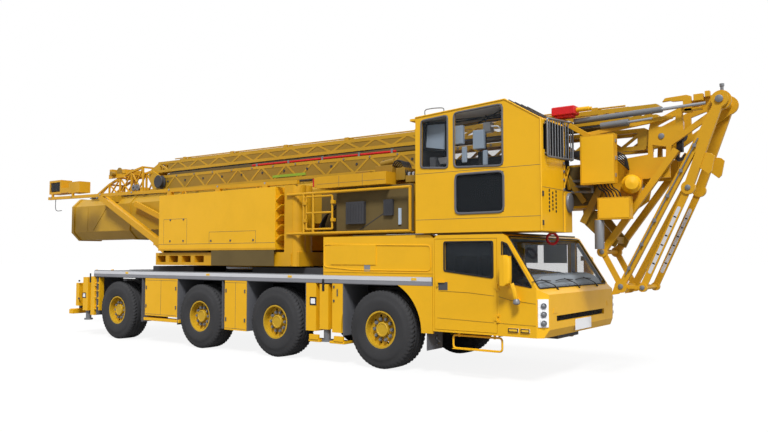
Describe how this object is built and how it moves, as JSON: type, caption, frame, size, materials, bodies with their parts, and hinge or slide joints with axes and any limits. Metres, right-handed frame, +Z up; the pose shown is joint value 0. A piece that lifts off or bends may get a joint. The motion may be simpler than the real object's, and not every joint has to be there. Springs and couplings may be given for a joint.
{
  "type": "four-axle mobile tower crane, folded for the road",
  "caption": "Mobile tower crane on a steered lorry chassis, with a telescoping mast, a folding lattice jib, a raised operator's cab and outriggers, folded for transport.",
  "frame": {"origin": "on the ground at the middle of the bounding box", "axes": "+X forward, +Y to the left, +Z up"},
  "size_m": [15.4498, 3.2, 4],
  "materials": {
    "body_yellow": "gloss",
    "frame_yellow": "satin",
    "rim_yellow": "satin",
    "tyre": "matte",
    "mudguard_black": "matte",
    "deck_grey": "satin",
    "dark_steel": "satin",
    "bright_steel": "brushed",
    "trim_grey": "matte",
    "lamp_white": "gloss",
    "window_glass": "gloss"
  },
  "bodies": {
    "carrier": {"chassis_frame": "dark_steel", "deck": "deck_grey", "mudguards": "mudguard_black", "side_lockers": "body_yellow", "axle_beams": "dark_steel", "driver_cab": "body_yellow", "cab_glass": "window_glass", "cab_interior": "trim_grey", "lamps": "lamp_white", "mirrors": "body_yellow", "engine_cowl": "body_yellow", "engine_block": "dark_steel"},
    "wheel_1_right": {"tyre_1_right": "tyre", "rim_1_right": "rim_yellow"},
    "steering_1_right": {"knuckle_1_right": "dark_steel"},
    "wheel_1_left": {"tyre_1_left": "tyre", "rim_1_left": "rim_yellow"},
    "steering_1_left": {"knuckle_1_left": "dark_steel"},
    "wheel_2_right": {"tyre_2_right": "tyre", "rim_2_right": "rim_yellow"},
    "steering_2_right": {"knuckle_2_right": "dark_steel"},
    "wheel_2_left": {"tyre_2_left": "tyre", "rim_2_left": "rim_yellow"},
    "steering_2_left": {"knuckle_2_left": "dark_steel"},
    "wheel_3_right": {"tyre_3_right": "tyre", "rim_3_right": "rim_yellow"},
    "wheel_3_left": {"tyre_3_left": "tyre", "rim_3_left": "rim_yellow"},
    "wheel_4_right": {"tyre_4_right": "tyre", "rim_4_right": "rim_yellow"},
    "steering_4_right": {"knuckle_4_right": "dark_steel"},
    "wheel_4_left": {"tyre_4_left": "tyre", "rim_4_left": "rim_yellow"},
    "steering_4_left": {"knuckle_4_left": "dark_steel"},
    "cab_door_right": {"door_right": "body_yellow", "door_glass_right": "window_glass"},
    "cab_door_left": {"door_left": "body_yellow", "door_glass_left": "window_glass"},
    "beam_front_right": {"outrigger_front_right": "body_yellow"},
    "foot_front_right": {"jack_front_right": "bright_steel"},
    "beam_front_left": {"outrigger_front_left": "body_yellow"},
    "foot_front_left": {"jack_front_left": "bright_steel"},
    "beam_rear_right": {"outrigger_rear_right": "body_yellow"},
    "foot_rear_right": {"jack_rear_right": "bright_steel"},
    "beam_rear_left": {"outrigger_rear_left": "body_yellow"},
    "foot_rear_left": {"jack_rear_left": "bright_steel"},
    "superstructure": {"platform": "frame_yellow", "ballast": "body_yellow", "service_rails": "frame_yellow"},
    "arms": {"raising_arms": "frame_yellow"},
    "mast": {"mast_tube": "frame_yellow", "operator_cab": "body_yellow", "operator_glass": "window_glass", "operator_interior": "trim_grey"},
    "telescope": {"inner_mast": "frame_yellow", "hook_block": "dark_steel"},
    "jib_root": {"inner_jib": "frame_yellow"},
    "jib_tip": {"outer_jib": "frame_yellow"},
    "guying": {"guy_frame": "frame_yellow"},
    "carriage": {"trolley": "dark_steel"}
  },
  "joints": [
    {"name": "steer_1_right", "type": "hinge", "parent": "carrier", "child": "steering_1_right", "pos_m": [2.775, -0.95, 0.62], "axis": [0, 0, 1], "range_deg": [-25, 25]},
    {"name": "roll_1_right", "type": "hinge", "parent": "steering_1_right", "child": "wheel_1_right", "pos_m": [2.775, -1.155, 0.62], "axis": [0, 1, 0], "continuous": true},
    {"name": "steer_1_left", "type": "hinge", "parent": "carrier", "child": "steering_1_left", "pos_m": [2.775, 0.95, 0.62], "axis": [0, 0, 1], "range_deg": [-25, 25]},
    {"name": "roll_1_left", "type": "hinge", "parent": "steering_1_left", "child": "wheel_1_left", "pos_m": [2.775, 1.155, 0.62], "axis": [0, 1, 0], "continuous": true},
    {"name": "steer_2_right", "type": "hinge", "parent": "carrier", "child": "steering_2_right", "pos_m": [0.445, -0.95, 0.62], "axis": [0, 0, 1], "range_deg": [-12, 12]},
    {"name": "roll_2_right", "type": "hinge", "parent": "steering_2_right", "child": "wheel_2_right", "pos_m": [0.445, -1.155, 0.62], "axis": [0, 1, 0], "continuous": true},
    {"name": "steer_2_left", "type": "hinge", "parent": "carrier", "child": "steering_2_left", "pos_m": [0.445, 0.95, 0.62], "axis": [0, 0, 1], "range_deg": [-12, 12]},
    {"name": "roll_2_left", "type": "hinge", "parent": "steering_2_left", "child": "wheel_2_left", "pos_m": [0.445, 1.155, 0.62], "axis": [0, 1, 0], "continuous": true},
    {"name": "roll_3_right", "type": "hinge", "parent": "carrier", "child": "wheel_3_right", "pos_m": [-1.605, -1.155, 0.62], "axis": [0, 1, 0], "continuous": true},
    {"name": "roll_3_left", "type": "hinge", "parent": "carrier", "child": "wheel_3_left", "pos_m": [-1.605, 1.155, 0.62], "axis": [0, 1, 0], "continuous": true},
    {"name": "steer_4_right", "type": "hinge", "parent": "carrier", "child": "steering_4_right", "pos_m": [-4.35, -0.95, 0.62], "axis": [0, 0, 1], "range_deg": [-14, 14]},
    {"name": "roll_4_right", "type": "hinge", "parent": "steering_4_right", "child": "wheel_4_right", "pos_m": [-4.35, -1.155, 0.62], "axis": [0, 1, 0], "continuous": true},
    {"name": "steer_4_left", "type": "hinge", "parent": "carrier", "child": "steering_4_left", "pos_m": [-4.35, 0.95, 0.62], "axis": [0, 0, 1], "range_deg": [-14, 14]},
    {"name": "roll_4_left", "type": "hinge", "parent": "steering_4_left", "child": "wheel_4_left", "pos_m": [-4.35, 1.155, 0.62], "axis": [0, 1, 0], "continuous": true},
    {"name": "door_right_hinge", "type": "hinge", "parent": "carrier", "child": "cab_door_right", "pos_m": [4.847, -1.388, 1.3], "axis": [0, 0, 1], "range_deg": [0, 75]},
    {"name": "door_left_hinge", "type": "hinge", "parent": "carrier", "child": "cab_door_left", "pos_m": [4.847, 1.388, 1.3], "axis": [0, 0, -1], "range_deg": [0, 75]},
    {"name": "outrigger_front_right_slide", "type": "slide", "parent": "carrier", "child": "beam_front_right", "axis": [0, -1, 0], "range_m": [0, 1.5]},
    {"name": "jack_front_right_slide", "type": "slide", "parent": "beam_front_right", "child": "foot_front_right", "axis": [0, 0, -1], "range_m": [0, 0.34]},
    {"name": "outrigger_front_left_slide", "type": "slide", "parent": "carrier", "child": "beam_front_left", "axis": [0, 1, 0], "range_m": [0, 1.5]},
    {"name": "jack_front_left_slide", "type": "slide", "parent": "beam_front_left", "child": "foot_front_left", "axis": [0, 0, -1], "range_m": [0, 0.34]},
    {"name": "outrigger_rear_right_slide", "type": "slide", "parent": "carrier", "child": "beam_rear_right", "axis": [0, -1, 0], "range_m": [0, 1.5]},
    {"name": "jack_rear_right_slide", "type": "slide", "parent": "beam_rear_right", "child": "foot_rear_right", "axis": [0, 0, -1], "range_m": [0, 0.34]},
    {"name": "outrigger_rear_left_slide", "type": "slide", "parent": "carrier", "child": "beam_rear_left", "axis": [0, 1, 0], "range_m": [0, 1.5]},
    {"name": "jack_rear_left_slide", "type": "slide", "parent": "beam_rear_left", "child": "foot_rear_left", "axis": [0, 0, -1], "range_m": [0, 0.34]},
    {"name": "slew", "type": "hinge", "parent": "carrier", "child": "superstructure", "pos_m": [-1.325, 0, 1.52], "axis": [0, 0, 1], "continuous": true},
    {"name": "raise_arms", "type": "hinge", "parent": "superstructure", "child": "arms", "pos_m": [-3.825, 0, 2.1], "axis": [0, 1, 0], "range_deg": [0, 107]},
    {"name": "erect_mast", "type": "hinge", "parent": "arms", "child": "mast", "pos_m": [-5.975, 0, 3.16], "axis": [0, -1, 0], "range_deg": [0, 197]},
    {"name": "mast_telescope", "type": "slide", "parent": "mast", "child": "telescope", "axis": [1, 0, 0], "range_m": [0, 6.5]},
    {"name": "jib_luff", "type": "hinge", "parent": "telescope", "child": "jib_root", "pos_m": [6.825, 0, 3.44], "axis": [0, 1, 0], "range_deg": [0, 120]},
    {"name": "jib_unfold", "type": "hinge", "parent": "jib_root", "child": "jib_tip", "pos_m": [-4.875, 0, 3.745], "axis": [0, -1, 0], "range_deg": [0, 180]},
    {"name": "guy_frame_swing", "type": "hinge", "parent": "telescope", "child": "guying", "pos_m": [7.595, 0, 3.85], "axis": [0, -1, 0], "range_deg": [0, 120]},
    {"name": "trolley_travel", "type": "slide", "parent": "jib_root", "child": "carriage", "axis": [-1, 0, 0], "range_m": [0, 9.5]}
  ],
  "couplings": [
    {"joint": "steer_1_right", "follows": "steer_1_left", "ratio": 1},
    {"joint": "steer_2_right", "follows": "steer_1_left", "ratio": 0.48},
    {"joint": "steer_2_left", "follows": "steer_1_left", "ratio": 0.48},
    {"joint": "steer_4_right", "follows": "steer_1_left", "ratio": -0.56},
    {"joint": "steer_4_left", "follows": "steer_1_left", "ratio": -0.56},
    {"joint": "erect_mast", "follows": "raise_arms", "ratio": 1.8411},
    {"joint": "jib_unfold", "follows": "jib_luff", "ratio": 1.5}
  ]
}
